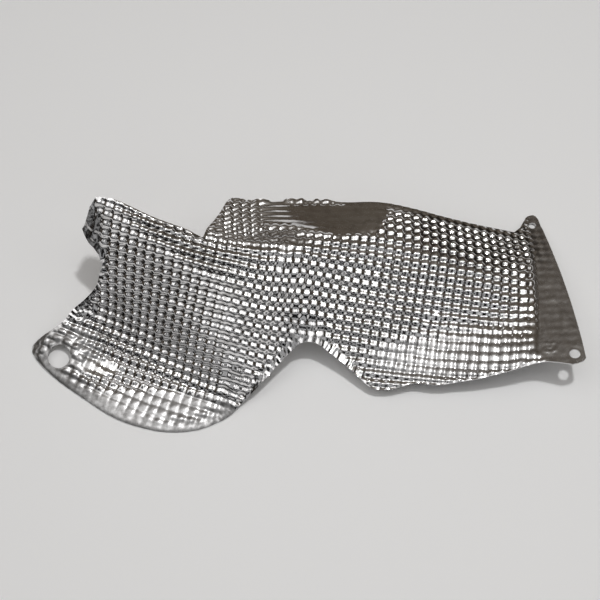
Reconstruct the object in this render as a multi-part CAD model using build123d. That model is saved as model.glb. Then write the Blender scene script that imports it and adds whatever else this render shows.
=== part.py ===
from build123d import *
import math
import os

os.makedirs("parts", exist_ok=True)

# Exhaust heat shield: one sheet of embossed aluminium, pressed to form, trimmed
# and pierced. Millimetres, +Z up, lying as it comes to rest on a flat floor.
# +X runs along the shield from the lobe to the bolted flange.

gauge = 1.0            # sheet thickness
bolt_hole_d = 7.0      # lower corner of the end flange, clear of an M6 bolt
tab_hole_d = 5.5       # small tab at the back of the end flange, clear of an M5 screw
lobe_hole_d = 16.0     # ear of the lobe, slips over a stud boss
bolt_hole_at = (175.9, -38.6)
tab_hole_at = (162.8, 71.6)
lobe_hole_at = (-162.2, -29.3)
lobe_seat_r = 10.0     # flat round the lobe hole, out to this radius
lobe_seat_blend = 9.0  # then run into the drawn form over this width
rest_lift = 0.26       # brings the lowest edge to the floor

# Draw form: heights of the middle of the sheet, as the control net of a uniform
# cubic surface. Rows step along X, columns step along Y.
net_x0, net_y0 = -186.660, -86.040
net_step_x, net_step_y = 14.0, 12.0
net = [
    [26.2, 23.8, 21.3, 18.2, 13.5, 5.8, -3.6, -11.3, -9.4, -1.0, 11.4, 26.6, 44.6, 65.1, 87.7, 111.9, 136.9, 162.3],
    [19.9, 16.9, 13.8, 10.6, 7.0, 0.6, -3.2, -3.9, 1.3, 8.8, 19.4, 33.3, 50.0, 68.7, 88.7, 109.4, 130.5, 151.6],
    [13.6, 10.4, 7.1, 3.1, -2.1, -2.1, 5.4, 10.9, 11.3, 16.7, 26.6, 40.0, 55.6, 72.4, 89.7, 106.9, 123.8, 140.6],
    [7.4, 4.8, 1.8, -1.9, -1.2, 6.2, 8.3, 8.5, 15.1, 22.2, 33.0, 46.7, 61.6, 76.4, 90.7, 104.0, 116.6, 128.8],
    [1.9, 0.6, -0.8, -1.1, 4.2, 5.4, 5.4, 9.7, 14.1, 24.4, 38.9, 53.5, 67.8, 80.5, 91.2, 100.2, 108.3, 116.0],
    [-2.3, -2.0, -1.3, 2.8, 3.5, 2.6, 5.1, 8.1, 15.1, 30.0, 46.0, 60.2, 74.0, 83.9, 90.3, 94.9, 98.7, 102.2],
    [-4.1, -3.4, 1.5, 3.1, 1.8, 2.9, 4.7, 10.0, 23.5, 40.0, 54.1, 68.3, 77.3, 84.2, 86.5, 87.3, 87.6, 87.9],
    [-2.8, -1.4, 2.4, 1.9, 2.3, 3.2, 7.3, 17.6, 33.7, 46.4, 63.4, 72.2, 75.9, 79.1, 78.9, 77.3, 75.4, 73.5],
    [-1.5, -0.8, 2.7, 2.2, 2.3, 5.9, 14.2, 30.1, 40.4, 54.1, 67.9, 70.1, 71.9, 70.7, 68.4, 65.6, 62.8, 59.9],
    [-0.9, -1.2, 3.0, 1.7, 3.9, 11.3, 26.4, 38.5, 47.6, 61.1, 65.9, 65.2, 64.2, 60.7, 57.0, 53.7, 50.6, 47.6],
    [-0.8, -2.4, 2.0, 4.6, 6.7, 22.3, 33.9, 42.3, 52.3, 61.8, 63.0, 60.8, 56.1, 51.3, 46.8, 43.1, 40.1, 37.2],
    [-0.0, -1.0, -2.5, 4.7, 13.8, 25.3, 35.9, 44.3, 53.8, 61.2, 64.8, 58.9, 52.6, 46.3, 40.6, 35.6, 32.3, 29.3],
    [0.7, 2.1, 3.4, 2.5, 14.6, 22.4, 33.4, 43.0, 52.2, 59.9, 65.8, 58.0, 51.3, 44.5, 38.9, 32.6, 28.1, 24.2],
    [1.4, 4.2, 7.1, 9.8, 10.5, 18.3, 28.1, 38.4, 48.0, 56.6, 63.2, 56.9, 50.6, 44.1, 38.6, 32.2, 26.8, 22.0],
    [2.0, 4.9, 7.6, 9.5, 10.4, 14.6, 23.6, 33.4, 43.0, 51.0, 60.9, 56.2, 49.5, 43.7, 38.2, 32.8, 27.5, 22.4],
    [2.4, 4.6, 6.6, 8.1, 9.9, 13.2, 20.8, 28.7, 36.9, 45.2, 56.2, 54.9, 49.0, 43.8, 38.2, 33.9, 29.1, 24.1],
    [2.4, 4.0, 5.5, 7.1, 9.6, 13.7, 19.9, 25.8, 32.9, 40.8, 52.1, 53.7, 48.1, 43.7, 38.2, 35.0, 30.8, 26.1],
    [2.4, 3.8, 5.2, 6.9, 9.8, 13.3, 18.8, 24.3, 31.2, 38.3, 47.4, 52.1, 47.4, 43.6, 38.4, 35.7, 31.8, 27.4],
    [2.8, 4.2, 5.8, 7.8, 10.6, 13.1, 16.9, 23.4, 30.2, 36.4, 42.6, 47.9, 47.4, 43.4, 38.8, 35.6, 31.6, 27.4],
    [3.8, 5.3, 7.0, 9.0, 11.1, 13.4, 16.4, 21.9, 27.6, 33.6, 39.4, 43.2, 43.6, 41.3, 37.7, 34.0, 30.0, 26.1],
    [5.6, 7.1, 8.6, 10.3, 11.9, 13.6, 15.7, 19.9, 25.3, 31.4, 36.8, 39.9, 39.0, 36.8, 34.0, 30.6, 27.0, 23.4],
    [8.1, 9.4, 10.7, 12.0, 13.3, 14.4, 15.7, 18.6, 23.6, 29.6, 34.7, 36.5, 34.8, 31.7, 28.7, 25.8, 22.9, 19.8],
    [11.2, 12.4, 13.4, 14.5, 15.7, 16.5, 17.0, 19.0, 22.8, 28.0, 32.5, 32.5, 30.0, 26.6, 23.4, 20.6, 17.9, 15.2],
    [14.9, 15.8, 16.8, 17.7, 18.8, 19.5, 19.7, 20.2, 22.2, 26.8, 29.7, 28.5, 25.4, 21.6, 18.0, 15.1, 12.6, 10.1],
    [19.1, 19.8, 20.5, 21.4, 22.4, 23.2, 22.7, 21.7, 21.2, 24.1, 25.8, 23.7, 20.1, 16.5, 12.9, 9.8, 7.1, 4.7],
    [23.8, 24.1, 24.4, 24.7, 25.1, 25.8, 25.1, 23.0, 20.9, 21.3, 21.5, 19.0, 14.7, 10.8, 7.4, 4.5, 1.8, -1.0],
    [28.9, 28.7, 28.4, 28.1, 27.8, 27.6, 26.6, 24.5, 22.0, 20.2, 18.2, 15.2, 10.8, 6.3, 2.7, -0.4, -3.5, -6.7],
    [34.2, 33.4, 32.5, 31.6, 30.6, 29.4, 27.7, 25.3, 22.3, 19.1, 15.6, 11.7, 7.3, 2.7, -1.4, -5.2, -8.9, -12.6],
    [39.7, 38.3, 36.7, 35.1, 33.4, 31.3, 28.7, 25.7, 22.0, 17.8, 13.3, 8.6, 3.8, -0.9, -5.5, -9.9, -14.2, -18.6],
    [45.3, 43.1, 41.0, 38.6, 36.1, 33.1, 29.8, 26.0, 21.5, 16.5, 11.1, 5.7, 0.5, -4.6, -9.6, -14.6, -19.6, -24.5],
]

# End flange: a flat strip, folded off the drawn field along the bend line.
flange_height, flange_slope_x, flange_slope_y = -5.07, 0.1444, -0.2214
bend_line = [(-43.4, 157.2), (-33.6, 151.5), (-13.7, 154.0), (6.7, 156.6), (32.2, 158.0), (55.9, 159.3), (75.0, 159.5)]   # (y, x)
bend_width = 7.0       # the fold runs out over this width

# Trim line in plan, one run between each pair of corners.
trim = [
    [(-131.8, 51.3), (-126.9, 50.4), (-119.0, 48.5), (-110.1, 45.1), (-100.5, 41.2), (-91.0, 38.0), (-81.6, 36.1), (-73.4, 34.4), (-68.3, 31.8), (-63.7, 29.2)],
    [(-63.7, 29.2), (-61.9, 36.8)],
    [(-61.9, 36.8), (-58.2, 44.7), (-54.9, 53.3), (-52.2, 62.4), (-49.3, 69.8), (-45.4, 73.1), (-40.7, 73.1), (-36.6, 70.8)],
    [(-36.6, 70.8), (-25.1, 70.6), (-11.5, 71.1), (2.1, 71.5), (15.8, 71.3), (29.3, 69.5), (42.9, 69.7), (56.4, 69.0), (66.6, 67.5), (80.4, 65.7), (94.4, 64.1), (108.6, 63.0), (123.0, 62.2), (137.6, 62.1), (148.0, 61.9)],
    [(148.0, 61.9), (152.7, 67.0)],
    [(152.7, 67.0), (156.8, 74.7), (160.7, 80.4), (164.6, 81.1), (167.3, 77.8), (168.3, 71.6), (169.5, 67.7)],
    [(169.5, 67.7), (174.7, 38.7), (178.9, 7.4), (181.1, -16.7), (182.1, -33.4), (182.4, -42.0)],
    [(182.4, -42.0), (180.4, -44.3), (177.5, -45.5), (173.6, -46.5)],
    [(173.6, -46.5), (165.8, -44.5), (157.9, -42.9)],
    [(157.9, -42.9), (153.6, -43.1), (147.2, -44.3), (137.6, -46.7), (124.4, -49.2), (112.3, -51.1), (100.9, -52.0), (93.8, -52.9), (86.7, -53.1), (80.3, -52.2), (73.8, -51.5), (68.6, -52.5), (63.3, -53.9), (58.1, -55.1), (52.9, -55.4), (49.0, -55.1), (45.1, -53.7), (39.9, -49.7), (33.4, -43.9), (27.5, -38.8), (21.6, -34.4), (16.4, -30.8), (11.8, -27.8), (7.2, -26.2), (2.6, -26.1), (-2.0, -27.4), (-6.6, -31.0), (-12.5, -36.6), (-21.0, -45.4), (-30.8, -55.1), (-38.8, -61.9), (-44.0, -66.6)],
    [(-44.0, -66.6), (-47.9, -70.2), (-53.8, -73.8), (-61.5, -77.4), (-70.5, -80.0), (-80.9, -81.1), (-91.4, -80.7), (-101.9, -78.7), (-113.9, -75.1), (-126.0, -69.6), (-137.1, -62.6), (-148.3, -54.9), (-159.6, -47.0), (-169.7, -38.4), (-177.5, -30.5)],
    [(-177.5, -30.5), (-181.6, -24.7)],
    [(-181.6, -24.7), (-181.7, -19.7), (-176.8, -16.3)],
    [(-176.8, -16.3), (-170.6, -13.3), (-163.8, -9.2), (-158.4, -5.3)],
    [(-158.4, -5.3), (-153.6, 0.2), (-148.7, 3.4), (-141.5, 7.8), (-136.0, 11.9), (-133.3, 16.5)],
    [(-133.3, 16.5), (-131.1, 19.3), (-131.3, 22.9), (-133.4, 26.4), (-136.6, 29.2), (-138.8, 31.4)],
    [(-138.8, 31.4), (-140.9, 34.4), (-143.0, 38.1)],
    [(-143.0, 38.1), (-140.1, 40.5), (-137.9, 44.3), (-135.5, 47.9)],
    [(-135.5, 47.9), (-131.8, 51.3)],
]

skin_step = 3.5        # spacing of the points that the skin is passed through


def weights(t):
    return ((1 - t) ** 3 / 6, (3 * t ** 3 - 6 * t ** 2 + 4) / 6,
            (-3 * t ** 3 + 3 * t ** 2 + 3 * t + 1) / 6, t ** 3 / 6)


def field(x, y):
    """Height of the drawn field."""
    u, v = (x - net_x0) / net_step_x, (y - net_y0) / net_step_y
    i = min(max(int(math.floor(u)), 0), len(net) - 4)
    j = min(max(int(math.floor(v)), 0), len(net[0]) - 4)
    wu, wv = weights(u - i), weights(v - j)
    return sum(wu[a] * wv[b] * net[i + a][j + b] for a in range(4) for b in range(4))


def bend_x(y):
    """Where the flange's bend line is at y."""
    if y <= bend_line[0][0]:
        return bend_line[0][1]
    for (ya, xa), (yb, xb) in zip(bend_line, bend_line[1:]):
        if y <= yb:
            return xa + (xb - xa) * (y - ya) / (yb - ya)
    return bend_line[-1][1]


def draw(x, y):
    """Height of the middle of the sheet, flange included."""
    m = min(max((x - bend_x(y)) / bend_width + 0.5, 0.0), 1.0)
    m = m * m * (3 - 2 * m)
    flat = flange_height + flange_slope_x * x + flange_slope_y * y
    return field(x, y) * (1 - m) + flat * m + rest_lift


# Flat seat round the lobe hole, set to the mean plane of the draw there
seat_x, seat_y = lobe_hole_at
ring = 7.0
seat_east, seat_west = draw(seat_x + ring, seat_y), draw(seat_x - ring, seat_y)
seat_north, seat_south = draw(seat_x, seat_y + ring), draw(seat_x, seat_y - ring)
seat_height = (seat_east + seat_west + seat_north + seat_south) / 4
seat_slope_x = (seat_east - seat_west) / (2 * ring)
seat_slope_y = (seat_north - seat_south) / (2 * ring)


def height(x, y):
    """Height of the middle of the sheet, flange and hole seat included."""
    k = (math.hypot(x - seat_x, y - seat_y) - lobe_seat_r) / lobe_seat_blend
    k = min(max(k, 0.0), 1.0)
    k = 1 - k * k * (3 - 2 * k)
    if k == 0.0:
        return draw(x, y)
    seat = seat_height + seat_slope_x * (x - seat_x) + seat_slope_y * (y - seat_y)
    return draw(x, y) * (1 - k) + seat * k


def normal(x, y):
    """Unit normal of the sheet, pointing up."""
    d = 0.2
    gx = (height(x + d, y) - height(x - d, y)) / (2 * d)
    gy = (height(x, y + d) - height(x, y - d)) / (2 * d)
    s = math.sqrt(1 + gx * gx + gy * gy)
    return Vector(-gx / s, -gy / s, 1 / s)


def middle(x, y):
    return Vector(x, y, height(x, y))


# Lower skin, half a gauge under the middle of the sheet
xs = [p[0] for run in trim for p in run]
ys = [p[1] for run in trim for p in run]
margin = 3.0
nx = int(round((max(xs) - min(xs) + 2 * margin) / skin_step)) + 1
ny = int(round((max(ys) - min(ys) + 2 * margin) / skin_step)) + 1
rows = []
for i in range(nx):
    x = min(xs) - margin + (max(xs) - min(xs) + 2 * margin) * i / (nx - 1)
    row = []
    for j in range(ny):
        y = min(ys) - margin + (max(ys) - min(ys) + 2 * margin) * j / (ny - 1)
        row.append(middle(x, y) - normal(x, y) * (gauge / 2))
    rows.append(row)
skin = Face.make_surface_from_array_of_points(rows, tol=0.02, min_deg=3, max_deg=3)

# Trimmed to the outline, then given its gauge square to the skin
edges = []
for run in trim:
    edges.append(Line(*run) if len(run) == 2 else Spline(*run))
blank = make_face(edges)
punch = extrude(blank, 140, dir=(0, 0, 1)).moved(Location((0, 0, -30)))
trimmed = skin & punch
trimmed = trimmed.faces()[0] if hasattr(trimmed, "faces") else trimmed
sheet = Solid.thicken(trimmed, gauge, normal_override=(0, 0, 1))

# Pierced holes, square to the sheet
for (x, y), d in ((bolt_hole_at, bolt_hole_d), (tab_hole_at, tab_hole_d), (lobe_hole_at, lobe_hole_d)):
    pierce = Plane(origin=middle(x, y), z_dir=normal(x, y))
    sheet = sheet - pierce * Cylinder(d / 2, 14 * gauge)

sheet = sheet.solids()[0] if hasattr(sheet, "solids") else sheet
box = sheet.bounding_box()
print("lobe seat", round(seat_height, 4), round(seat_slope_x, 5), round(seat_slope_y, 5))
print("size", [round(v, 2) for v in box.size], "min", [round(v, 2) for v in box.min], "valid", sheet.is_valid, "volume", round(sheet.volume, 1))
sheet.label = "heat_shield"
export_step(sheet, "parts/heat_shield.step")
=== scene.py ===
import math
import bpy
import bmesh
import numpy as np
from mathutils import Matrix, Vector
from mathutils.geometry import delaunay_2d_cdt


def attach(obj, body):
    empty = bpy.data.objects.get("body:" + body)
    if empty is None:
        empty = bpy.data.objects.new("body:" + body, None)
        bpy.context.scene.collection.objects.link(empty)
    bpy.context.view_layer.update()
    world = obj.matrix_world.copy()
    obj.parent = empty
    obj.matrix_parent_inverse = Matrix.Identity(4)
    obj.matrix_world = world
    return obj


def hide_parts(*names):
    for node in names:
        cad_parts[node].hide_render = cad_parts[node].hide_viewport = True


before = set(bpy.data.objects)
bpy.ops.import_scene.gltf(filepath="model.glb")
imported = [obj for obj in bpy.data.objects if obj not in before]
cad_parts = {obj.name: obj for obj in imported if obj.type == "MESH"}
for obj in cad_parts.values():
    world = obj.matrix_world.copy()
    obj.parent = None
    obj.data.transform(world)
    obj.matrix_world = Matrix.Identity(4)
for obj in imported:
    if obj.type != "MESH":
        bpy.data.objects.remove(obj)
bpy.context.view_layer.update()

# ---------------------------------------------------------------- sheet form
# Millimetres in the tables; the mesh is written in metres.
GAUGE = 1.0
NET_X0, NET_Y0, NET_DX, NET_DY = -186.660, -86.040, 14.0, 12.0
NET = np.array([
    [26.2, 23.8, 21.3, 18.2, 13.5, 5.8, -3.6, -11.3, -9.4, -1.0, 11.4, 26.6, 44.6, 65.1, 87.7, 111.9, 136.9, 162.3],
    [19.9, 16.9, 13.8, 10.6, 7.0, 0.6, -3.2, -3.9, 1.3, 8.8, 19.4, 33.3, 50.0, 68.7, 88.7, 109.4, 130.5, 151.6],
    [13.6, 10.4, 7.1, 3.1, -2.1, -2.1, 5.4, 10.9, 11.3, 16.7, 26.6, 40.0, 55.6, 72.4, 89.7, 106.9, 123.8, 140.6],
    [7.4, 4.8, 1.8, -1.9, -1.2, 6.2, 8.3, 8.5, 15.1, 22.2, 33.0, 46.7, 61.6, 76.4, 90.7, 104.0, 116.6, 128.8],
    [1.9, 0.6, -0.8, -1.1, 4.2, 5.4, 5.4, 9.7, 14.1, 24.4, 38.9, 53.5, 67.8, 80.5, 91.2, 100.2, 108.3, 116.0],
    [-2.3, -2.0, -1.3, 2.8, 3.5, 2.6, 5.1, 8.1, 15.1, 30.0, 46.0, 60.2, 74.0, 83.9, 90.3, 94.9, 98.7, 102.2],
    [-4.1, -3.4, 1.5, 3.1, 1.8, 2.9, 4.7, 10.0, 23.5, 40.0, 54.1, 68.3, 77.3, 84.2, 86.5, 87.3, 87.6, 87.9],
    [-2.8, -1.4, 2.4, 1.9, 2.3, 3.2, 7.3, 17.6, 33.7, 46.4, 63.4, 72.2, 75.9, 79.1, 78.9, 77.3, 75.4, 73.5],
    [-1.5, -0.8, 2.7, 2.2, 2.3, 5.9, 14.2, 30.1, 40.4, 54.1, 67.9, 70.1, 71.9, 70.7, 68.4, 65.6, 62.8, 59.9],
    [-0.9, -1.2, 3.0, 1.7, 3.9, 11.3, 26.4, 38.5, 47.6, 61.1, 65.9, 65.2, 64.2, 60.7, 57.0, 53.7, 50.6, 47.6],
    [-0.8, -2.4, 2.0, 4.6, 6.7, 22.3, 33.9, 42.3, 52.3, 61.8, 63.0, 60.8, 56.1, 51.3, 46.8, 43.1, 40.1, 37.2],
    [-0.0, -1.0, -2.5, 4.7, 13.8, 25.3, 35.9, 44.3, 53.8, 61.2, 64.8, 58.9, 52.6, 46.3, 40.6, 35.6, 32.3, 29.3],
    [0.7, 2.1, 3.4, 2.5, 14.6, 22.4, 33.4, 43.0, 52.2, 59.9, 65.8, 58.0, 51.3, 44.5, 38.9, 32.6, 28.1, 24.2],
    [1.4, 4.2, 7.1, 9.8, 10.5, 18.3, 28.1, 38.4, 48.0, 56.6, 63.2, 56.9, 50.6, 44.1, 38.6, 32.2, 26.8, 22.0],
    [2.0, 4.9, 7.6, 9.5, 10.4, 14.6, 23.6, 33.4, 43.0, 51.0, 60.9, 56.2, 49.5, 43.7, 38.2, 32.8, 27.5, 22.4],
    [2.4, 4.6, 6.6, 8.1, 9.9, 13.2, 20.8, 28.7, 36.9, 45.2, 56.2, 54.9, 49.0, 43.8, 38.2, 33.9, 29.1, 24.1],
    [2.4, 4.0, 5.5, 7.1, 9.6, 13.7, 19.9, 25.8, 32.9, 40.8, 52.1, 53.7, 48.1, 43.7, 38.2, 35.0, 30.8, 26.1],
    [2.4, 3.8, 5.2, 6.9, 9.8, 13.3, 18.8, 24.3, 31.2, 38.3, 47.4, 52.1, 47.4, 43.6, 38.4, 35.7, 31.8, 27.4],
    [2.8, 4.2, 5.8, 7.8, 10.6, 13.1, 16.9, 23.4, 30.2, 36.4, 42.6, 47.9, 47.4, 43.4, 38.8, 35.6, 31.6, 27.4],
    [3.8, 5.3, 7.0, 9.0, 11.1, 13.4, 16.4, 21.9, 27.6, 33.6, 39.4, 43.2, 43.6, 41.3, 37.7, 34.0, 30.0, 26.1],
    [5.6, 7.1, 8.6, 10.3, 11.9, 13.6, 15.7, 19.9, 25.3, 31.4, 36.8, 39.9, 39.0, 36.8, 34.0, 30.6, 27.0, 23.4],
    [8.1, 9.4, 10.7, 12.0, 13.3, 14.4, 15.7, 18.6, 23.6, 29.6, 34.7, 36.5, 34.8, 31.7, 28.7, 25.8, 22.9, 19.8],
    [11.2, 12.4, 13.4, 14.5, 15.7, 16.5, 17.0, 19.0, 22.8, 28.0, 32.5, 32.5, 30.0, 26.6, 23.4, 20.6, 17.9, 15.2],
    [14.9, 15.8, 16.8, 17.7, 18.8, 19.5, 19.7, 20.2, 22.2, 26.8, 29.7, 28.5, 25.4, 21.6, 18.0, 15.1, 12.6, 10.1],
    [19.1, 19.8, 20.5, 21.4, 22.4, 23.2, 22.7, 21.7, 21.2, 24.1, 25.8, 23.7, 20.1, 16.5, 12.9, 9.8, 7.1, 4.7],
    [23.8, 24.1, 24.4, 24.7, 25.1, 25.8, 25.1, 23.0, 20.9, 21.3, 21.5, 19.0, 14.7, 10.8, 7.4, 4.5, 1.8, -1.0],
    [28.9, 28.7, 28.4, 28.1, 27.8, 27.6, 26.6, 24.5, 22.0, 20.2, 18.2, 15.2, 10.8, 6.3, 2.7, -0.4, -3.5, -6.7],
    [34.2, 33.4, 32.5, 31.6, 30.6, 29.4, 27.7, 25.3, 22.3, 19.1, 15.6, 11.7, 7.3, 2.7, -1.4, -5.2, -8.9, -12.6],
    [39.7, 38.3, 36.7, 35.1, 33.4, 31.3, 28.7, 25.7, 22.0, 17.8, 13.3, 8.6, 3.8, -0.9, -5.5, -9.9, -14.2, -18.6],
    [45.3, 43.1, 41.0, 38.6, 36.1, 33.1, 29.8, 26.0, 21.5, 16.5, 11.1, 5.7, 0.5, -4.6, -9.6, -14.6, -19.6, -24.5],
])
FLANGE = (-5.07, 0.1444, -0.2214)
BEND = [(-43.4, 157.2), (-33.6, 151.5), (-13.7, 154.0), (6.7, 156.6), (32.2, 158.0), (55.9, 159.3), (75.0, 159.5)]          # (y, x) along the flange's bend
BEND_WIDTH = 7.0
REST_LIFT = 0.26
HOLES = (((175.9, -38.6), 7.0), ((162.8, 71.6), 5.5), ((-162.2, -29.3), 16.0))
SEAT_R, SEAT_BLEND = 10.0, 9.0

# Trim line in plan, one run between each pair of corners
TRIM = [
    [(-131.8, 51.3), (-126.9, 50.4), (-119.0, 48.5), (-110.1, 45.1), (-100.5, 41.2), (-91.0, 38.0), (-81.6, 36.1), (-73.4, 34.4), (-68.3, 31.8), (-63.7, 29.2)],
    [(-63.7, 29.2), (-61.9, 36.8)],
    [(-61.9, 36.8), (-58.2, 44.7), (-54.9, 53.3), (-52.2, 62.4), (-49.3, 69.8), (-45.4, 73.1), (-40.7, 73.1), (-36.6, 70.8)],
    [(-36.6, 70.8), (-25.1, 70.6), (-11.5, 71.1), (2.1, 71.5), (15.8, 71.3), (29.3, 69.5), (42.9, 69.7), (56.4, 69.0), (66.6, 67.5), (80.4, 65.7), (94.4, 64.1), (108.6, 63.0), (123.0, 62.2), (137.6, 62.1), (148.0, 61.9)],
    [(148.0, 61.9), (152.7, 67.0)],
    [(152.7, 67.0), (156.8, 74.7), (160.7, 80.4), (164.6, 81.1), (167.3, 77.8), (168.3, 71.6), (169.5, 67.7)],
    [(169.5, 67.7), (174.7, 38.7), (178.9, 7.4), (181.1, -16.7), (182.1, -33.4), (182.4, -42.0)],
    [(182.4, -42.0), (180.4, -44.3), (177.5, -45.5), (173.6, -46.5)],
    [(173.6, -46.5), (165.8, -44.5), (157.9, -42.9)],
    [(157.9, -42.9), (153.6, -43.1), (147.2, -44.3), (137.6, -46.7), (124.4, -49.2), (112.3, -51.1), (100.9, -52.0), (93.8, -52.9), (86.7, -53.1), (80.3, -52.2), (73.8, -51.5), (68.6, -52.5), (63.3, -53.9), (58.1, -55.1), (52.9, -55.4), (49.0, -55.1), (45.1, -53.7), (39.9, -49.7), (33.4, -43.9), (27.5, -38.8), (21.6, -34.4), (16.4, -30.8), (11.8, -27.8), (7.2, -26.2), (2.6, -26.1), (-2.0, -27.4), (-6.6, -31.0), (-12.5, -36.6), (-21.0, -45.4), (-30.8, -55.1), (-38.8, -61.9), (-44.0, -66.6)],
    [(-44.0, -66.6), (-47.9, -70.2), (-53.8, -73.8), (-61.5, -77.4), (-70.5, -80.0), (-80.9, -81.1), (-91.4, -80.7), (-101.9, -78.7), (-113.9, -75.1), (-126.0, -69.6), (-137.1, -62.6), (-148.3, -54.9), (-159.6, -47.0), (-169.7, -38.4), (-177.5, -30.5)],
    [(-177.5, -30.5), (-181.6, -24.7)],
    [(-181.6, -24.7), (-181.7, -19.7), (-176.8, -16.3)],
    [(-176.8, -16.3), (-170.6, -13.3), (-163.8, -9.2), (-158.4, -5.3)],
    [(-158.4, -5.3), (-153.6, 0.2), (-148.7, 3.4), (-141.5, 7.8), (-136.0, 11.9), (-133.3, 16.5)],
    [(-133.3, 16.5), (-131.1, 19.3), (-131.3, 22.9), (-133.4, 26.4), (-136.6, 29.2), (-138.8, 31.4)],
    [(-138.8, 31.4), (-140.9, 34.4), (-143.0, 38.1)],
    [(-143.0, 38.1), (-140.1, 40.5), (-137.9, 44.3), (-135.5, 47.9)],
    [(-135.5, 47.9), (-131.8, 51.3)],
]

# Where each embossing cell of the flat blank ended up: plan positions over the
# blank's own coordinates, counted in cells (control net of a cubic surface)
BLANK_U0, BLANK_V0, BLANK_STEP = -31.0, -21.0, 3.0
BLANK_X = np.array([
    [-174.73, -175.75, -177.03, -178.75, -181.11, -184.15, -187.68, -191.22, -194.65, -198.63, -203.97, -210.69, -218.13, -225.74, -233.33, -240.96],
    [-157.83, -158.61, -159.56, -160.89, -162.87, -165.68, -169.23, -172.52, -175.13, -178.10, -182.84, -189.48, -196.94, -204.66, -212.35, -220.10],
    [-141.17, -141.66, -142.25, -143.12, -144.58, -147.06, -150.87, -154.18, -155.89, -157.49, -161.40, -167.99, -175.15, -183.37, -191.44, -199.43],
    [-124.85, -125.08, -125.32, -125.69, -126.48, -128.26, -132.20, -135.79, -137.31, -137.81, -140.45, -147.63, -154.28, -162.66, -171.12, -179.30],
    [-108.90, -108.94, -108.93, -108.95, -109.28, -110.56, -114.18, -117.88, -120.16, -121.55, -123.38, -130.61, -137.35, -144.27, -152.16, -160.11],
    [-93.18, -93.11, -92.99, -92.85, -93.00, -94.07, -96.82, -99.83, -102.26, -105.01, -107.15, -112.57, -119.08, -126.28, -134.09, -141.67],
    [-77.40, -77.30, -77.12, -76.79, -76.53, -76.90, -78.47, -81.34, -84.48, -88.04, -90.81, -95.01, -101.43, -109.89, -116.83, -123.43],
    [-61.22, -61.10, -60.89, -60.23, -59.19, -58.20, -58.88, -62.88, -67.27, -71.53, -74.65, -78.07, -83.20, -91.06, -97.66, -103.89],
    [-44.33, -44.12, -43.80, -42.86, -41.37, -39.49, -39.83, -44.24, -48.74, -53.71, -57.69, -60.82, -63.94, -69.81, -76.66, -83.10],
    [-26.65, -26.25, -25.70, -24.79, -23.73, -21.89, -22.28, -26.13, -30.83, -35.91, -39.68, -43.57, -46.73, -51.06, -56.75, -62.58],
    [-8.45, -7.89, -7.27, -6.60, -5.93, -4.66, -7.02, -11.01, -14.91, -19.41, -22.25, -25.85, -29.25, -33.06, -37.73, -42.73],
    [9.95, 10.60, 11.21, 11.63, 12.00, 12.61, 8.12, 3.54, 1.40, -1.68, -4.70, -8.03, -11.39, -14.97, -19.00, -23.32],
    [28.32, 29.02, 29.67, 29.99, 30.25, 30.75, 26.00, 21.13, 18.84, 16.35, 13.07, 9.85, 6.65, 3.32, -0.29, -4.09],
    [46.47, 47.22, 47.93, 48.36, 48.55, 48.34, 44.34, 40.32, 37.17, 33.84, 30.65, 27.82, 24.92, 21.84, 18.57, 15.16],
    [64.33, 65.08, 65.79, 66.42, 66.80, 65.64, 62.47, 59.29, 55.62, 51.72, 48.98, 46.35, 43.60, 40.71, 37.69, 34.57],
    [81.99, 82.72, 83.40, 84.16, 84.96, 83.77, 80.88, 77.62, 74.47, 71.00, 68.26, 65.46, 62.72, 59.95, 57.11, 54.20],
    [99.56, 100.35, 101.16, 102.06, 102.92, 102.15, 99.57, 96.22, 93.24, 89.90, 87.14, 84.64, 82.11, 79.52, 76.85, 74.12],
    [117.01, 117.90, 118.87, 119.95, 120.80, 120.60, 118.23, 115.21, 112.83, 109.76, 106.78, 104.33, 101.94, 99.47, 96.93, 94.32],
    [134.27, 135.18, 136.12, 137.23, 138.38, 138.68, 136.79, 134.39, 131.92, 129.48, 126.91, 124.53, 122.20, 119.80, 117.33, 114.81],
    [151.37, 152.23, 153.03, 154.06, 155.89, 157.00, 155.94, 154.11, 151.13, 148.80, 147.04, 145.02, 142.80, 140.44, 138.01, 135.52],
    [168.36, 169.22, 170.00, 170.97, 172.74, 174.27, 174.23, 173.38, 171.82, 170.05, 168.11, 165.98, 163.69, 161.31, 158.87, 156.40],
    [185.31, 186.18, 187.02, 188.03, 189.50, 190.98, 191.77, 192.13, 192.06, 191.07, 189.18, 186.99, 184.66, 182.26, 179.81, 177.35],
    [202.33, 203.28, 204.27, 205.45, 206.96, 208.56, 209.92, 210.95, 211.46, 211.03, 209.65, 207.72, 205.52, 203.17, 200.75, 198.32],
    [219.44, 220.48, 221.63, 223.00, 224.66, 226.48, 228.25, 229.74, 230.68, 230.72, 229.83, 228.25, 226.26, 224.02, 221.67, 219.26],
])
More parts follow.
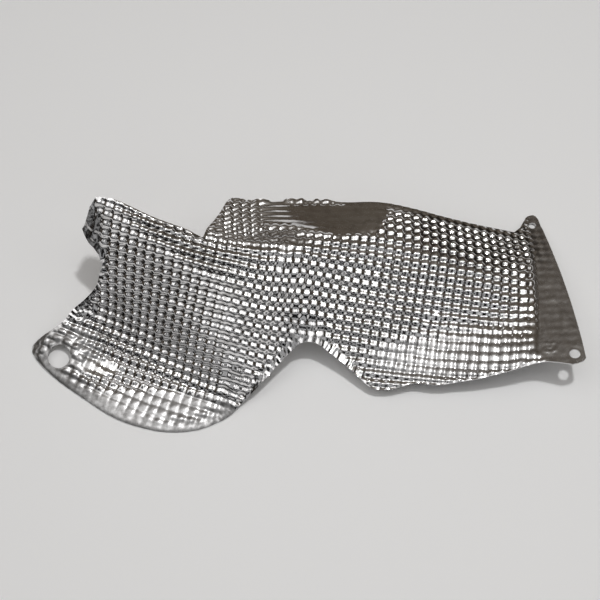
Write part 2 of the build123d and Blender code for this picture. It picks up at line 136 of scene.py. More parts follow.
BLANK_Y = np.array([
    [139.67, 127.31, 115.13, 103.20, 91.53, 80.02, 68.55, 56.96, 45.19, 33.32, 21.26, 8.90, -3.69, -16.83, -30.55, -44.56],
    [133.26, 120.68, 108.26, 96.08, 84.14, 72.38, 60.68, 48.85, 36.81, 24.75, 12.34, -0.67, -13.71, -27.18, -41.22, -55.47],
    [127.09, 114.22, 101.50, 89.03, 76.79, 64.70, 52.72, 40.70, 28.41, 16.46, 3.90, -10.27, -24.24, -37.87, -52.09, -66.53],
    [121.37, 108.12, 95.04, 82.22, 69.61, 56.99, 44.33, 32.19, 20.03, 8.84, -3.05, -18.58, -34.57, -48.70, -62.99, -77.61],
    [116.36, 102.61, 89.07, 75.89, 63.01, 49.87, 35.92, 23.68, 12.47, 1.83, -9.10, -25.07, -43.04, -58.36, -73.26, -88.38],
    [112.36, 97.98, 83.82, 70.21, 57.39, 44.56, 29.38, 16.26, 5.84, -5.46, -16.19, -31.62, -51.10, -67.38, -83.02, -98.73],
    [109.69, 94.59, 79.56, 65.12, 52.12, 40.27, 24.99, 9.64, -1.57, -13.82, -24.51, -38.11, -58.36, -76.74, -92.70, -108.56],
    [108.69, 92.99, 77.03, 61.18, 46.69, 34.41, 20.28, 3.97, -9.04, -22.43, -33.23, -44.84, -63.91, -83.81, -100.56, -116.79],
    [109.39, 93.58, 77.57, 61.31, 45.09, 30.13, 15.58, -0.15, -14.59, -29.27, -41.32, -52.62, -69.32, -88.24, -105.88, -122.86],
    [111.08, 95.42, 79.79, 63.76, 46.82, 29.95, 13.17, -3.26, -17.67, -32.11, -46.09, -59.26, -74.85, -92.49, -110.14, -127.51],
    [112.79, 96.95, 80.93, 64.24, 47.16, 30.82, 14.74, -1.80, -17.31, -33.05, -48.46, -63.47, -79.34, -96.45, -113.91, -131.34],
    [114.09, 98.04, 81.67, 64.51, 46.92, 30.06, 15.36, 0.29, -16.33, -33.66, -50.29, -66.47, -82.91, -99.94, -117.27, -134.69],
    [114.85, 98.74, 82.38, 65.32, 47.72, 30.10, 14.52, -0.63, -17.60, -35.01, -52.16, -68.99, -85.85, -102.98, -120.30, -137.70],
    [114.92, 98.84, 82.82, 66.54, 49.55, 30.96, 13.25, -2.88, -19.83, -37.16, -54.34, -71.36, -88.45, -105.69, -123.06, -140.48],
    [114.23, 97.97, 81.83, 65.84, 49.39, 30.17, 11.61, -5.17, -22.13, -39.35, -56.45, -73.58, -90.84, -108.21, -125.64, -143.11],
    [113.10, 96.47, 79.81, 63.52, 47.87, 29.06, 10.53, -6.31, -24.15, -41.67, -58.48, -75.73, -93.16, -110.64, -128.14, -145.64],
    [112.05, 95.28, 78.55, 62.31, 46.46, 27.67, 9.05, -8.02, -26.55, -44.25, -60.86, -78.13, -95.58, -113.09, -130.61, -148.14],
    [111.22, 94.45, 77.74, 61.37, 44.92, 26.38, 7.59, -10.12, -28.97, -47.07, -63.75, -80.80, -98.11, -115.55, -133.06, -150.60],
    [110.45, 93.66, 76.79, 59.86, 42.93, 24.64, 5.31, -12.73, -31.10, -49.26, -66.21, -83.23, -100.49, -117.92, -135.43, -152.98],
    [109.51, 92.79, 76.02, 59.20, 42.90, 25.11, 5.14, -13.22, -31.06, -49.41, -67.36, -84.98, -102.52, -120.07, -137.66, -155.26],
    [108.07, 91.29, 74.51, 57.88, 41.69, 24.31, 5.59, -12.24, -30.57, -49.74, -68.38, -86.49, -104.33, -122.06, -139.75, -157.43],
    [106.16, 89.20, 72.18, 55.22, 38.38, 21.08, 3.41, -14.12, -32.46, -51.34, -69.88, -88.10, -106.09, -123.95, -141.74, -159.49],
    [104.01, 86.94, 69.83, 52.74, 35.68, 18.46, 1.09, -16.46, -34.58, -53.10, -71.54, -89.79, -107.86, -125.80, -143.66, -161.48],
    [101.76, 84.63, 67.47, 50.32, 33.19, 16.01, -1.28, -18.79, -36.73, -54.99, -73.30, -91.54, -109.65, -127.65, -145.56, -163.42],
])
U_RANGE, V_RANGE = (-28.57, 27.50), (-18.88, 15.33)


def cubic(t):
    return ((1 - t) ** 3 / 6, (3 * t ** 3 - 6 * t ** 2 + 4) / 6,
            (-3 * t ** 3 + 3 * t ** 2 + 3 * t + 1) / 6, t ** 3 / 6)


def net_value(net, a, b):
    i = np.clip(np.floor(a).astype(int), 0, net.shape[0] - 4)
    j = np.clip(np.floor(b).astype(int), 0, net.shape[1] - 4)
    wa, wb = cubic(a - i), cubic(b - j)
    out = np.zeros_like(a)
    for p in range(4):
        for q in range(4):
            out += wa[p] * wb[q] * net[i + p, j + q]
    return out


def ease(t):
    t = np.clip(t, 0.0, 1.0)
    return t * t * (3 - 2 * t)


def bend_x(y):
    return np.interp(y, [b[0] for b in BEND], [b[1] for b in BEND])


def draw(x, y):
    z = net_value(NET, (x - NET_X0) / NET_DX, (y - NET_Y0) / NET_DY)
    m = ease((x - bend_x(y)) / BEND_WIDTH + 0.5)
    return z * (1 - m) + (FLANGE[0] + FLANGE[1] * x + FLANGE[2] * y) * m + REST_LIFT


SEAT_X, SEAT_Y = HOLES[2][0]
_e, _w, _n, _s = draw(np.array([SEAT_X + 7, SEAT_X - 7, SEAT_X, SEAT_X]), np.array([SEAT_Y, SEAT_Y, SEAT_Y + 7, SEAT_Y - 7]))


def height(x, y):
    k = 1 - ease((np.hypot(x - SEAT_X, y - SEAT_Y) - SEAT_R) / SEAT_BLEND)
    seat = (_e + _w + _n + _s) / 4 + (_e - _w) / 14 * (x - SEAT_X) + (_n - _s) / 14 * (y - SEAT_Y)
    return draw(x, y) * (1 - k) + seat * k


def normal(x, y):
    d = 0.25
    gx = (height(x + d, y) - height(x - d, y)) / (2 * d)
    gy = (height(x, y + d) - height(x, y - d)) / (2 * d)
    s = np.sqrt(1 + gx * gx + gy * gy)
    return np.stack([-gx / s, -gy / s, 1 / s], -1)


def plan(u, v):
    a, b = (u - BLANK_U0) / BLANK_STEP, (v - BLANK_V0) / BLANK_STEP
    return net_value(BLANK_X, a, b), net_value(BLANK_Y, a, b)


def unplan(x, y):
    """Blank coordinates of plan points."""
    gu, gv = np.meshgrid(np.arange(U_RANGE[0] - 1, U_RANGE[1] + 1.1, 1.0), np.arange(V_RANGE[0] - 1, V_RANGE[1] + 1.1, 1.0), indexing="ij")
    gx, gy = plan(gu.ravel(), gv.ravel())
    near = np.array([np.argmin((gx - a) ** 2 + (gy - b) ** 2) for a, b in zip(x, y)])
    u, v = gu.ravel()[near].copy(), gv.ravel()[near].copy()
    h = 1e-3
    for _ in range(12):
        px, py = plan(u, v)
        ux, uy = plan(u + h, v)
        vx, vy = plan(u, v + h)
        a, b, c, d = (ux - px) / h, (vx - px) / h, (uy - py) / h, (vy - py) / h
        det = a * d - b * c
        ex, ey = x - px, y - py
        u += np.clip((d * ex - b * ey) / det, -0.7, 0.7)
        v += np.clip((a * ey - c * ex) / det, -0.7, 0.7)
    return u, v


# ---------------------------------------------------------------- trim loops
def run_points(run, step=0.8):
    """Points along a smooth run through the given points, without the last one."""
    p = np.array(run, float)
    if len(p) == 2:
        n = max(2, int(np.hypot(*(p[1] - p[0])) / step))
        t = np.linspace(0, 1, n, endpoint=False)[:, None]
        return p[0] * (1 - t) + p[1] * t
    chord = np.r_[0, np.cumsum(np.hypot(*(p[1:] - p[:-1]).T))]
    n = len(p)
    # natural cubic through the points
    out = []
    tt = np.linspace(0, chord[-1], max(2, int(chord[-1] / step)), endpoint=False)
    for k in range(2):
        h = np.diff(chord)
        A = np.zeros((n, n)); r = np.zeros(n)
        A[0, 0] = A[-1, -1] = 1
        for i in range(1, n - 1):
            A[i, i - 1], A[i, i], A[i, i + 1] = h[i - 1], 2 * (h[i - 1] + h[i]), h[i]
            r[i] = 6 * ((p[i + 1, k] - p[i, k]) / h[i] - (p[i, k] - p[i - 1, k]) / h[i - 1])
        m = np.linalg.solve(A, r)
        i = np.clip(np.searchsorted(chord, tt, side="right") - 1, 0, n - 2)
        a, b = (chord[i + 1] - tt) / h[i], (tt - chord[i]) / h[i]
        out.append(a * p[i, k] + b * p[i + 1, k] + ((a ** 3 - a) * m[i] + (b ** 3 - b) * m[i + 1]) * h[i] ** 2 / 6)
    return np.stack(out, -1)


runs = [run_points(r) for r in TRIM]
outline = np.concatenate(runs)
run_of = np.concatenate([np.full(len(r), i) for i, r in enumerate(runs)])
rings = []
for (hx, hy), dia in HOLES:
    n = normal(np.array([hx]), np.array([hy]))[0]
    e1 = np.cross([0, 1, 0], n); e1 /= np.linalg.norm(e1)
    e2 = np.cross(n, e1)
    t = np.linspace(0, 2 * math.pi, 48, endpoint=False)[:, None]
    c = np.array([hx, hy, 0]) + dia / 2 * (np.cos(t) * e1 + np.sin(t) * e2)
    rings.append(c[:, :2])


def inside(loop, x, y):
    a, b = loop, np.roll(loop, -1, 0)
    hit = np.zeros(len(x), bool)
    for (xa, ya), (xb, yb) in zip(a, b):
        if ya == yb:
            continue
        k = (ya > y) != (yb > y)
        hit ^= k & (x < (xb - xa) * (y - ya) / (yb - ya) + xa)
    return hit


def distance(loop, x, y):
    """Distance to a closed loop and the index of the nearest point on it."""
    best = np.full(len(x), 1e9); arg = np.zeros(len(x), int)
    for s in range(0, len(x), 4000):
        dx = x[s:s + 4000, None] - loop[None, :, 0]
        dy = y[s:s + 4000, None] - loop[None, :, 1]
        d2 = dx * dx + dy * dy
        arg[s:s + 4000] = d2.argmin(1)
        best[s:s + 4000] = np.sqrt(d2.min(1))
    return best, arg


# ---------------------------------------------------------------- relief
rng = np.random.RandomState(20)
LATTICE = rng.rand(256, 256) * 2 - 1


def noise(a, b, shift=0):
    """Smooth noise between -1 and 1 over a unit lattice."""
    i, j = np.floor(a).astype(int), np.floor(b).astype(int)
    s, t = ease(a - i), ease(b - j)
    g = lambda p, q: LATTICE[(i + p + 37 * shift) % 256, (j + q + 91 * shift) % 256]
    return (g(0, 0) * (1 - s) + g(1, 0) * s) * (1 - t) + (g(0, 1) * (1 - s) + g(1, 1) * s) * t


EMBOSS = 1.1          # height of the embossing over its own middle (mm)
PAD_FLAT = 0.10
CREST = 0.9

# Per trim run: plain margin (mm), share of the columns that runs out through
# the margin as pleats, and how far the cut edge is rolled down (mm)
MARGIN = np.array([
    (2.0, 0.3, 0.8), (2.0, 0.0, 0.0), (2.0, 0.0, 0.3), (1.2, 0.2, 0.2), (3.0, 0.0, 0.0),
    (3.0, 0.0, 0.0), (3.0, 0.0, 0.0), (3.0, 0.0, 0.0), (3.0, 0.0, 0.0), (1.3, 0.5, 0.1),
    (9.0, 0.25, 0.3), (3.0, 0.0, 0.3), (3.0, 0.0, 0.3), (3.0, 0.0, 0.2), (3.5, 0.0, 0.2),
    (3.0, 0.0, 0.0), (3.0, 0.0, 0.0), (3.0, 0.0, 0.0), (2.0, 0.0, 0.0)])

# Pleats square to the cut edge: run, from x, to x, height, pitch, reach (mm)
PLEATS = (
    (9, -46.0, 46.0, 0.36, 3.2, 12.0),
    (9, 46.0, 150.0, 0.12, 3.6, 5.0),
    (10, -60.0, -40.0, 0.20, 2.6, 9.0),
    (13, -182.0, -130.0, 0.24, 2.9, 9.0),
    (14, -182.0, -130.0, 0.30, 2.7, 11.0),
    (15, -150.0, -125.0, 0.22, 2.5, 7.0),
    (2, -66.0, -38.0, 0.16, 3.0, 6.0),
)

# Places where the sheet gathered while it was formed: plan centre, radii,
# embossing left there, how far the cells shift, height of the crumpling (mm)
GATHERED = (
    (-7.0, 8.0, 13.0, 40.0, 0.75, 0.17, 0.12),
    (-14.0, 26.0, 24.0, 11.0, 0.65, 0.18, 0.13),
    (4.0, -18.0, 18.0, 8.0, 0.80, 0.20, 0.05),
    (90.0, -11.0, 15.0, 9.0, 0.85, 0.14, 0.06),
    (-138.0, 40.0, 9.5, 13.0, 0.25, 0.30, 0.45),
    (-133.0, 22.0, 5.0, 10.0, 0.20, 0.30, 0.35),
    (-148.0, 1.0, 14.0, 9.0, 0.35, 0.30, 0.22),
    (-160.0, -24.0, 24.0, 16.0, 0.75, 0.16, 0.20),
    (-137.0, -37.0, 18.0, 7.5, 0.45, 0.20, 0.05),
    (-62.0, 44.0, 12.0, 16.0, 0.70, 0.25, 0.14),
    (-45.0, -50.0, 12.0, 10.0, 0.75, 0.15, 0.08),
    (150.0, 10.0, 6.0, 52.0, 0.80, 0.16, 0.05),
    (140.0, -39.0, 24.0, 5.0, 0.85, 0.15, 0.06),
    (104.0, -30.0, 62.0, 15.0, 0.85, 0.10, 0.05),
    (-106.0, -64.0, 60.0, 12.0, 0.45, 0.08, 0.05),
    (-40.0, 50.0, 19.0, 20.0, 1.50, 0.08, 0.0),
    (-18.0, 34.0, 26.0, 8.0, 1.45, 0.25, 0.22),
    (157.0, -14.0, 5.0, 34.0, 0.80, 0.16, 0.12),
    (161.0, -33.0, 6.0, 6.0, 0.80, 0.20, 0.35),
)

# Places where the pads were pressed flat and only the grooves between them stay:
# plan centre, radii, share
PRESSED = (
    (100.0, -34.0, 72.0, 17.0, 0.55),
    (-106.0, -60.0, 60.0, 12.0, 0.85),
    (-160.0, -24.0, 26.0, 18.0, 0.50),
)

# Dull, rubbed places: plan centre, radii, share
WORN = (
    (-160.0, -26.0, 30.0, 20.0, 0.90),
    (-106.0, -64.0, 62.0, 12.0, 0.90),
    (-138.0, 40.0, 14.0, 20.0, 0.25),
    (100.0, -36.0, 72.0, 16.0, 0.60),
    (0.0, -24.0, 40.0, 7.0, 0.15),
    (-14.0, 28.0, 24.0, 12.0, 0.35),
)

# Strip behind the crest where the press flattened the embossing (cells)
STRIP = ((-8.2, -11.6), (-6.3, -11.3), (-4.0, -11.0), (-2.1, -10.5), (0.7, -9.5), (2.8, -9.9), (4.9, -10.45), (5.7, -11.3), (6.4, -12.9), (7.2, -14.2))


def zone(x, y, cx, cy, rx, ry):
    return 1 - ease((np.hypot((x - cx) / rx, (y - cy) / ry) - 0.55) / 0.6)


def cell(t, flat):
    """One wave of the embossing: round, or flat with a narrow groove."""
    groove = 1 - 2 * np.exp(-((t % 1.0 - 0.5) / 0.13) ** 2)
    return (1 - flat) * np.cos(2 * np.pi * t) + 0.5 * flat * groove


def ridged(a, b, shift):
    return 1.0 - 2.2 * np.abs(noise(a, b, shift))


def relief(u, v, x, y, edge, near_run, along, hole):
    """How far the sheet stands out of its plain form, millimetres."""
    keep = np.ones_like(x)
    jitter = np.full_like(x, 0.045)
    crumple = np.zeros_like(x)
    for cx, cy, rx, ry, left, shift, high in GATHERED:
        m = zone(x, y, cx, cy, rx, ry)
        keep *= 1 - m * (1 - left)
        jitter = np.maximum(jitter, m * shift)
        crumple = np.maximum(crumple, m * high)
    # strip behind the crest: rows run out of its left end as streaks
    low = np.interp(u, [p[0] for p in STRIP], [p[1] for p in STRIP])
    span = ease((u + 8.0) / 1.2) * ease((7.0 - u) / 0.8)
    strip = ease((low - v) / 0.7) * span
    rim = (1 - ease((edge - 3.0) / 2.0)) * ease((u + 5.0) / 1.5) * ease((2.5 - u) / 1.5)
    strip = strip * (1 - rim)
    cols = keep * (1 - 0.93 * strip)
    rows = keep * (1 - 0.93 * strip * ease((u + 7.6) / 4.0))
    # margins, holes and the flange
    width, pleat, roll = MARGIN[near_run].T
    arch = (near_run == 9) * ease((x + 40.0) / 14.0) * ease((46.0 - x) / 14.0)
    width = width + 4.5 * (near_run == 3) * ease((x - 45.0) / 20.0) + 5.0 * arch
    a = ease((edge - 0.2 * width) / width)
    bare = ease((hole - 0.2) / 2.0) * (1 - 0.88 * ease((x - bend_x(y) + 3.0) / 6.0))
    cols = cols * (a + (1 - a) * pleat) * bare
    rows = rows * a * bare
    # cells, drawn a little uneven
    uu = u + jitter * noise(u * 0.83, v * 0.83, 2)
    vv = v + jitter * noise(u * 0.83, v * 0.83, 3)
    lobe = 1 - ease((x + 75.0) / 40.0)
    lean = 0.40 * zone(x, y, 104.0, 52.0, 70.0, 36.0)
    vv = vv + lean * (1 - np.cos(2 * np.pi * vv)) / (2 * np.pi)
    rows = rows * (1 - 0.20 * lean)
    steep = zone(x, y, 132.0, 46.0, 46.0, 34.0)
    rows = rows * (1 + 0.45 * steep)
    cols = cols * (1 - 0.15 * steep)
    calm = zone(x, y, 104.0, -31.0, 72.0, 21.0)
    rows = rows * (1 - 0.35 * calm)
    cols = cols * (1 + 0.20 * lobe) * (1 + 0.30 * calm)
    flat = np.zeros_like(x)
    for cx, cy, rx, ry, share in PRESSED:
        flat = np.maximum(flat, share * zone(x, y, cx, cy, rx, ry))
    w = 0.5 * (cols * cell(uu, flat) + rows * (1 + 0.15 * lobe) * cell(vv, flat))
    w = w + 0.10 * lobe * cols * rows * np.cos(2 * np.pi * (uu + vv))
    z = EMBOSS * (w - PAD_FLAT * w * w) * (1 + 0.14 * noise(u * 0.37, v * 0.37, 1))
    # sharp crest along the strip
    z = z + CREST * (1 + 0.8 * ease((u + 10.0) / 2.0) * ease((-1.0 - u) / 3.0)) * np.exp(-np.abs(low - v) * 0.95) * span
    # fold between the two formed halves
    fold = x - np.interp(y, (-30.0, 0.0, 40.0), (-4.4, -6.4, -9.0))
    z = z + 0.55 * np.exp(-np.abs(fold) / 3.2) * ease((y + 34.0) / 14.0) * ease((44.0 - y) / 12.0) * (0.7 + 0.6 * noise(x * 0.0, y * 0.12, 4))
    # pleats and rolled edges
    for run, lo, hi, high, pitch, reach in PLEATS:
        m = (near_run == run) * ease((x - lo) / 6.0) * ease((hi - x) / 6.0) * (1 - ease(edge / reach))
        phase = along / pitch + 0.55 * noise(along * 0.16, edge * 0.12, 5)
        z = z + high * m * np.sin(2 * np.pi * phase) * (0.65 + 0.6 * noise(along * 0.21, edge * 0.05, 6))
    z = z - roll * np.clip(1 - edge / 2.2, 0, 1) ** 2
    z = z + 1.5 * arch * np.clip(1 - edge / 9.0, 0, 1) ** 2
    z = z + 1.1 * ((near_run > 14) & (near_run < 18)) * np.clip(1 - edge / 5.0, 0, 1) ** 2 * (0.7 + 0.9 * noise(along * 0.30, edge * 0.0, 14))
    turned = (near_run == 3) * ease((x + 42.0) / 8.0) * ease((26.0 - x) / 14.0)
    z = z + 1.5 * turned * np.clip(1 - edge / 4.5, 0, 1) ** 2 * (0.7 + 0.9 * noise(along * 0.30, edge * 0.0, 13))
    # crumpling, flange crinkles and the fine cockle of thin sheet
    z = z + crumple * (ridged(x / 6.5, y / 6.5, 7) + 0.5 * ridged(x / 3.1, y / 3.1, 8))
    flange = ease((x - bend_x(y) + 2.0) / 5.0)
    z = z + flange * (0.20 * ridged(x / 6.0, y / 13.0, 9) + 0.11 * noise(x / 2.2, y / 10.0, 10) + 0.05 * noise(x / 1.7, y / 1.9, 12)) * ease((hole - 0.8) / 2.5)
    z = z + 0.030 * noise(x / 1.9, y / 1.9, 11) * ease((hole - 0.5) / 2.0)
    return z


tangent = np.roll(outline, -1, 0) - np.roll(outline, 1, 0)
tangent /= np.hypot(*tangent.T)[:, None]
station = np.r_[0, np.cumsum(np.hypot(*np.diff(outline, axis=0).T))]


def surface(u, v, side):
    x, y = plan(u, v)
    edge, k = distance(outline, x, y)
    along = station[k] + (x - outline[k, 0]) * tangent[k, 0] + (y - outline[k, 1]) * tangent[k, 1]
    hole = np.full(len(x), 1e9)
    for ring in rings:
        hole = np.minimum(hole, distance(ring, x, y)[0])
    n = normal(x, y)
    r = relief(u, v, x, y, edge, run_of[k], along, hole)
    return np.stack([x, y, height(x, y)], -1) + n * (r + side * GAUGE / 2)[:, None]


# ---------------------------------------------------------------- mesh
def skin_points(per_cell, clear):
    gu, gv = np.meshgrid(np.arange(math.floor(U_RANGE[0]) - 1, U_RANGE[1] + 1, 1.0 / per_cell),
                         np.arange(math.floor(V_RANGE[0]) - 1, V_RANGE[1] + 1, 1.0 / per_cell), indexing="ij")
    u, v = gu.ravel(), gv.ravel()
    x, y = plan(u, v)
    keep = inside(outline, x, y)
    u, v, x, y = u[keep], v[keep], x[keep], y[keep]
    keep = distance(outline, x, y)[0] > clear
    for ring in rings:
        keep &= ~inside(ring, x, y) & (distance(ring, x, y)[0] > clear)
    return u[keep], v[keep]


CELL = 6.3
loops = [outline] + rings
loop_uv = [np.stack(unplan(l[:, 0], l[:, 1]), -1) for l in loops]
edges, start = [], 0
for l in loop_uv:
    edges += [(start + i, start + (i + 1) % len(l)) for i in range(len(l))]
    start += len(l)
rim_uv = np.concatenate(loop_uv)
verts, faces, tips = [], [], []
for side, per_cell, clear in ((1, 8, 0.45), (-1, 4, 0.9)):
    gu, gv = skin_points(per_cell, clear)
    uv = np.concatenate([rim_uv, np.stack([gu, gv], -1)])
    out = delaunay_2d_cdt([Vector((a, b)) for a, b in (uv * CELL).tolist()], edges, [], 1, 1e-6)
    co = np.array([(p[0], p[1]) for p in out[0]]) / CELL
    back = {}
    for k, src in enumerate(out[3]):
        for s in src:
            back[s] = k
    tri = np.array([f for f in out[2] if len(f) == 3])
    mid = co[tri].mean(1)
    mx, my = plan(mid[:, 0], mid[:, 1])
    keep = inside(outline, mx, my)
    for ring in rings:
        keep &= ~inside(ring, mx, my)
    tri = tri[keep]
    base = sum(len(p) for p in verts)
    verts.append(surface(co[:, 0], co[:, 1], side))
    tips.append([base + back[k] for k in range(len(rim_uv))])
    faces += (tri + base).tolist()
    print("skin", side, len(co), "points", len(tri), "triangles")
rim_edges = set()
for a, b in edges:
    faces.append([tips[0][a], tips[0][b], tips[1][b], tips[1][a]])
    rim_edges.add(frozenset((tips[0][a], tips[0][b])))
    rim_edges.add(frozenset((tips[1][a], tips[1][b])))
verts = np.concatenate(verts) * 0.001
verts[:, 2] = np.maximum(verts[:, 2], 0.0)

mesh = bpy.data.meshes.new("embossed_sheet")
mesh.from_pydata(verts.tolist(), [], faces)
bm = bmesh.new()
bm.from_mesh(mesh)
bmesh.ops.recalc_face_normals(bm, faces=bm.faces)
for e in bm.edges:
    e.smooth = frozenset((e.verts[0].index, e.verts[1].index)) not in rim_edges
for f in bm.faces:
    f.smooth = True
loose = [p for p in bm.verts if not p.link_faces]
bmesh.ops.delete(bm, geom=loose, context="VERTS")
bm.to_mesh(mesh)
bm.free()
spots = np.empty(3 * len(mesh.vertices))
mesh.vertices.foreach_get("co", spots)
px, py = spots.reshape(-1, 3)[:, :2].T * 1000.0
worn = 0.45 * ease((px - bend_x(py) + 2.0) / 5.0)
edge, k = distance(outline, px, py)
worn = np.maximum(worn, (run_of[k] == 10) * (1 - ease((edge - 5.0) / 11.0)))
for cx, cy, rx, ry, share in WORN:
    worn = np.maximum(worn, share * zone(px, py, cx, cy, rx, ry))
mesh.attributes.new("worn", "FLOAT", "POINT").data.foreach_set("value", worn.astype(np.float32))
# Painted shade: the hollows of the cells in the upper right field and in the lobe are marked for a dark brown colour,
# standing in for the dark reflections they show
pu, pv = unplan(px, py)
low = 0.5 * (np.cos(2 * np.pi * pu) + np.cos(2 * np.pi * pv))
painted_shade = 0.95 * ease((0.20 - low) / 0.45) * zone(px, py, 120.0, 54.0, 58.0, 36.0)
painted_shade = np.maximum(painted_shade, 0.95 * ease((-0.32 - low) / 0.28) * zone(px, py, -98.0, 6.0, 60.0, 46.0))
mesh.attributes.new("painted_shade", "FLOAT", "POINT").data.foreach_set("value", painted_shade.astype(np.float32))
sheet = bpy.data.objects.new("embossed_sheet", mesh)
bpy.context.scene.collection.objects.link(sheet)
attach(sheet, "root")
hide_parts("heat_shield")


# ---------------------------------------------------------------- materials
def material(name):
    m = bpy.data.materials.new(name)
    m.use_nodes = True
    nt = m.node_tree
    nt.nodes.clear()
    out = nt.nodes.new("ShaderNodeOutputMaterial")
    b = nt.nodes.new("ShaderNodeBsdfPrincipled")
    nt.links.new(b.outputs[0], out.inputs[0])
    return m, nt, b


metal, nt, b = material("aluminium_sheet")
b.inputs["Metallic"].default_value = 1.0
co = nt.nodes.new("ShaderNodeTexCoord")


def tex_noise(scale, detail, rough=0.5):
    n = nt.nodes.new("ShaderNodeTexNoise")
    n.inputs["Scale"].default_value = scale
    n.inputs["Detail"].default_value = detail
    n.inputs["Roughness"].default_value = rough
    nt.links.new(co.outputs["Object"], n.inputs["Vector"])
    return n


def ramp(src, stops):
    r = nt.nodes.new("ShaderNodeValToRGB")
    while len(r.color_ramp.elements) < len(stops):
        r.color_ramp.elements.new(0.5)
    for e, (p, c) in zip(r.color_ramp.elements, stops):
        e.position = p
        e.color = (*c, 1.0)
    nt.links.new(src, r.inputs[0])
    return r


def blend(kind, share, a, c):
    m = nt.nodes.new("ShaderNodeMix")
    m.data_type = kind
    first = {"FLOAT": 2, "RGBA": 6}[kind]
    nt.links.new(share, m.inputs[0])
    nt.links.new(a, m.inputs[first])
    nt.links.new(c, m.inputs[first + 1])
    return m.outputs[{"FLOAT": 0, "RGBA": 2}[kind]]


worn = nt.nodes.new("ShaderNodeAttribute")
worn.attribute_name = "worn"
# Noise for the metal's random tone; it also mottles the painted shade colour of the cell hollows
tone_and_shade_noise = tex_noise(110.0, 8.0, 0.68)
tone = ramp(tone_and_shade_noise.outputs["Fac"], [(0.30, (0.62, 0.61, 0.60)), (0.50, (0.83, 0.825, 0.83)), (0.70, (0.90, 0.90, 0.905))])
stain = tex_noise(240.0, 9.0, 0.72)
dull = ramp(stain.outputs["Fac"], [(0.34, (0.22, 0.215, 0.21)), (0.50, (0.39, 0.385, 0.385)), (0.66, (0.56, 0.56, 0.56))])
# Painted shade: the marked cell hollows take a dark brown colour in place of the metal's own
painted_shade = nt.nodes.new("ShaderNodeAttribute")
painted_shade.attribute_name = "painted_shade"
shade_colour = ramp(tone_and_shade_noise.outputs["Fac"], [(0.30, (0.045, 0.039, 0.033)), (0.70, (0.11, 0.098, 0.086))])
clean = blend("RGBA", worn.outputs["Fac"], tone.outputs["Color"], dull.outputs["Color"])
skin = blend("RGBA", painted_shade.outputs["Fac"], clean, shade_colour.outputs["Color"])
nt.links.new(skin, b.inputs["Base Color"])
wear = tex_noise(140.0, 5.0, 0.6)
gloss = ramp(wear.outputs["Fac"], [(0.30, (0.10, 0.10, 0.10)), (0.70, (0.17, 0.17, 0.17))])
rubbed = ramp(stain.outputs["Fac"], [(0.35, (0.46, 0.46, 0.46)), (0.65, (0.30, 0.30, 0.30))])
nt.links.new(blend("FLOAT", worn.outputs["Fac"], gloss.outputs["Color"], rubbed.outputs["Color"]), b.inputs["Roughness"])
grain = tex_noise(900.0, 4.0, 0.6)
bump = nt.nodes.new("ShaderNodeBump")
bump.inputs["Strength"].default_value = 0.10
bump.inputs["Distance"].default_value = 0.0003
nt.links.new(grain.outputs["Fac"], bump.inputs["Height"])
nt.links.new(bump.outputs["Normal"], b.inputs["Normal"])
mesh.materials.append(metal)

# ---------------------------------------------------------------- stage
fm = bpy.data.meshes.new("floor")
fm.from_pydata([(-2.5, -2.5, 0), (2.5, -2.5, 0), (2.5, 2.5, 0), (-2.5, 2.5, 0)], [], [(0, 1, 2, 3)])
floor = bpy.data.objects.new("floor", fm)
bpy.context.scene.collection.objects.link(floor)
paper, nt, b = material("floor_paper")
b.inputs["Base Color"].default_value = (0.90, 0.90, 0.90, 1.0)
b.inputs["Roughness"].default_value = 0.9
b.inputs["Specular IOR Level"].default_value = 0.1
fm.materials.append(paper)

# Dim room: warm and dark behind the sheet, nearly black in front of it
world = bpy.data.worlds.new("studio")
bpy.context.scene.world = world
world.use_nodes = True
wt = world.node_tree
where = wt.nodes.new("ShaderNodeTexCoord")
split = wt.nodes.new("ShaderNodeSeparateXYZ")
wt.links.new(where.outputs["Generated"], split.inputs[0])
depth = wt.nodes.new("ShaderNodeMapRange")
depth.inputs["From Min"].default_value = -0.6
depth.inputs["From Max"].default_value = 0.5
wt.links.new(split.outputs["Y"], depth.inputs["Value"])
rise = wt.nodes.new("ShaderNodeValToRGB")
for spot, colour in ((0.35, (0.092, 0.078, 0.062, 1.0)), (0.65, (0.125, 0.108, 0.092, 1.0))):
    rise.color_ramp.elements.new(spot).color = colour
rise.color_ramp.elements[0].color = (0.068, 0.053, 0.040, 1.0)
rise.color_ramp.elements[3].position = 0.92
rise.color_ramp.elements[3].color = (0.24, 0.22, 0.195, 1.0)
wt.links.new(split.outputs["Z"], rise.inputs[0])
room = wt.nodes.new("ShaderNodeMix")
room.data_type = "RGBA"
room.inputs[6].default_value = (0.0010, 0.0010, 0.0018, 1.0)
wt.links.new(rise.outputs["Color"], room.inputs[7])
wt.links.new(depth.outputs["Result"], room.inputs[0])
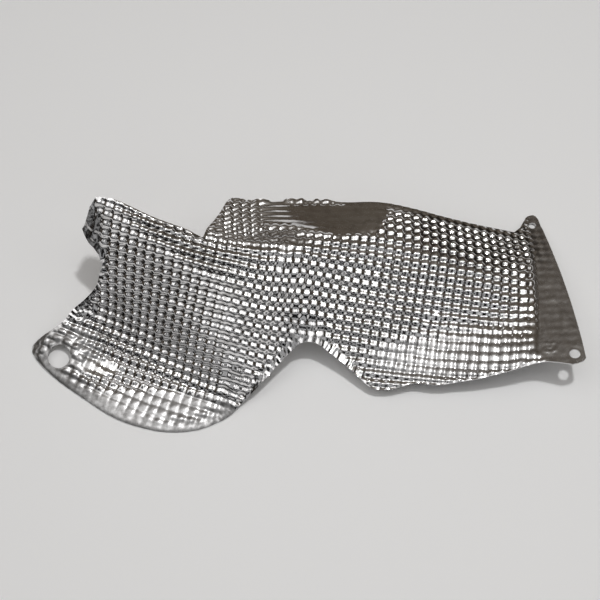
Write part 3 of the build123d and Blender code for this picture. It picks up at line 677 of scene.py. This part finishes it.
wt.links.new(room.outputs[2], wt.nodes["Background"].inputs["Color"])


def softbox(name, at, aim, size_x, size_y, radiance):
    l = bpy.data.lights.new(name, "AREA")
    l.shape = "RECTANGLE"
    l.size, l.size_y = size_x, size_y
    l.energy = radiance * math.pi * size_x * size_y
    o = bpy.data.objects.new(name, l)
    o.location = at
    o.rotation_euler = (Vector(aim) - Vector(at)).to_track_quat("-Z", "Y").to_euler()
    bpy.context.scene.collection.objects.link(o)
    return o


def spot_at(azimuth, elevation, away):
    """Point seen from the middle of the sheet: azimuth from +Y towards +X."""
    a, e = math.radians(azimuth), math.radians(elevation)
    return (away * math.sin(a) * math.cos(e), away * math.cos(a) * math.cos(e), 0.03 + away * math.sin(e))


aim = (0.0, 0.0, 0.03)
softbox("softbox_top", (-0.10, -0.12, 1.60), aim, 1.40, 1.05, 1.25)
softbox("fill_left", spot_at(-88, 51, 1.75), aim, 1.50, 0.66, 0.85)
softbox("fill_low", spot_at(-146, 18, 1.75), aim, 0.90, 0.45, 0.26)
softbox("bounce_front", spot_at(168, 40, 1.75), aim, 1.80, 1.10, 0.34)
softbox("softbox_right", spot_at(100, 52, 1.7), aim, 0.85, 0.60, 0.90)
softbox("fill_right", spot_at(130, 22, 1.75), aim, 0.80, 0.50, 0.50)
softbox("lamp_key", spot_at(70, 80, 1.7), aim, 0.10, 0.10, 300.0)

# ---------------------------------------------------------------- camera
cam = bpy.data.cameras.new("camera")
cam.lens = 69.0
cam.sensor_width = 36.0
cam.clip_start, cam.clip_end = 0.01, 50.0
eye = bpy.data.objects.new("camera", cam)
right, up, ahead = (0.99999, 0.00001, -0.00473), (0.00208, 0.89734, 0.44133), (-0.00425, 0.44133, -0.89733)
at = (0.001935, -0.33448, 0.71072)
eye.matrix_world = Matrix([(right[i], up[i], -ahead[i], at[i]) for i in range(3)] + [(0, 0, 0, 1)])
bpy.context.scene.collection.objects.link(eye)
bpy.context.scene.camera = eye
bpy.context.scene.view_settings.view_transform = "Standard"
bpy.context.scene.view_settings.look = "None"
